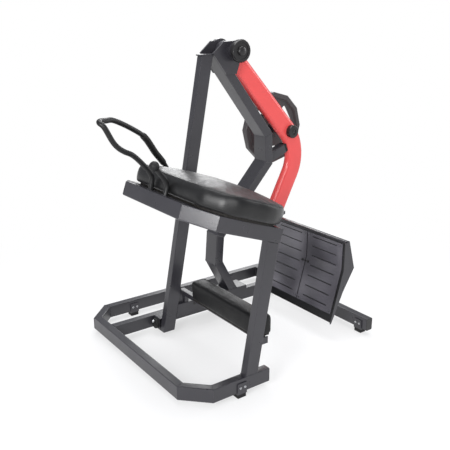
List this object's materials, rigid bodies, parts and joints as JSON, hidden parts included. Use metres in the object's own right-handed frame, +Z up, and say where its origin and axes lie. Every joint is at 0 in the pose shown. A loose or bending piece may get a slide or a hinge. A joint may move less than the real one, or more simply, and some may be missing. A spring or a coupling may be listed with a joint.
{
  "type": "glute kickback machine",
  "caption": "Plate loaded standing kickback machine: a red swing arm with a foot platform hangs from a leaning frame with a sloping bench pad, knee pad and handles.",
  "frame": {"origin": "on the floor, below the middle of the whole machine's outline seen from above", "axes": "+Z up; +X towards the rear, the way the platform is pushed; +Y towards the weight plate, away from the side where the user stands"},
  "size_m": [1.7886, 1.316, 1.802],
  "materials": {
    "frame_paint": "charcoal powder coat, satin",
    "red_paint": "coral red paint, semi-gloss",
    "pad_leather": "black synthetic leather, soft sheen",
    "pad_board": "dark sealed plywood",
    "handle_grip": "black coated bar",
    "black_plastic": "moulded black plastic, satin",
    "black_rubber": "black rubber",
    "plate_rubber": "black coated cast iron",
    "panel_grey": "smooth mid-grey panel with soft reflections",
    "bearing_steel": "ground steel"
  },
  "bodies": {
    "frame": {"near_rail": "frame_paint", "front_bar": "frame_paint", "far_rail": "frame_paint", "middle_rail": "frame_paint", "rear_crossbar": "frame_paint", "near_rail_cap": "black_plastic", "far_rail_cap": "black_plastic", "crossbar_cap": "black_plastic", "near_foot_bracket": "frame_paint", "far_foot_bracket": "frame_paint", "rear_near_foot_bracket": "frame_paint", "rear_far_foot_bracket": "frame_paint", "near_rubber_foot": "black_rubber", "far_rubber_foot": "black_rubber", "rear_near_rubber_foot": "black_rubber", "rear_far_rubber_foot": "black_rubber", "tall_post": "frame_paint", "near_leg": "frame_paint", "post_spacer_tube": "frame_paint", "front_buffer": "black_rubber", "raised_beam": "frame_paint", "main_frame_upper": "frame_paint", "main_frame_knee": "frame_paint", "main_frame_middle": "frame_paint", "main_frame_shin": "frame_paint", "main_frame_foot": "frame_paint", "stop_tube": "frame_paint", "stop_rubber": "black_rubber", "frame_bumper": "black_rubber", "post_cap_plate": "frame_paint", "near_cheek_plate": "frame_paint", "far_cheek_plate": "frame_paint", "near_bearing_housing": "frame_paint", "far_bearing_housing": "frame_paint", "near_cover_disc": "black_plastic", "far_cover_disc": "black_plastic", "near_pivot_bearing": "bearing_steel", "far_pivot_bearing": "bearing_steel", "bench_near_rail": "frame_paint", "bench_front_rail": "frame_paint", "bench_far_rail": "frame_paint", "bench_rear_rail": "frame_paint", "bench_pad": "pad_leather", "bench_pad_board": "pad_board", "loop_handle": "handle_grip", "short_handle": "handle_grip", "short_handle_cap": "black_rubber", "knee_pad": "pad_leather", "knee_pad_board": "pad_board", "knee_pad_support": "frame_paint"},
    "swing_arm": {"pivot_shaft": "bearing_steel", "arm_hub": "frame_paint", "swing_arm_tube": "red_paint", "arm_side_cap": "black_plastic", "loading_horn": "frame_paint", "platform_tray": "frame_paint", "platform_top_bar": "frame_paint", "near_panel": "panel_grey", "far_panel": "panel_grey"},
    "plate": {"weight_plate": "plate_rubber"}
  },
  "joints": [
    {"name": "arm_swing", "type": "hinge", "parent": "frame", "child": "swing_arm", "pos_m": [0.15162, 0.268, 1.735], "axis": [0, -1, 0], "range_deg": [0, 55]},
    {"name": "plate_slide", "type": "slide", "parent": "swing_arm", "child": "plate", "axis": [0, 1, 0], "range_m": [0, 0.06]}
  ]
}
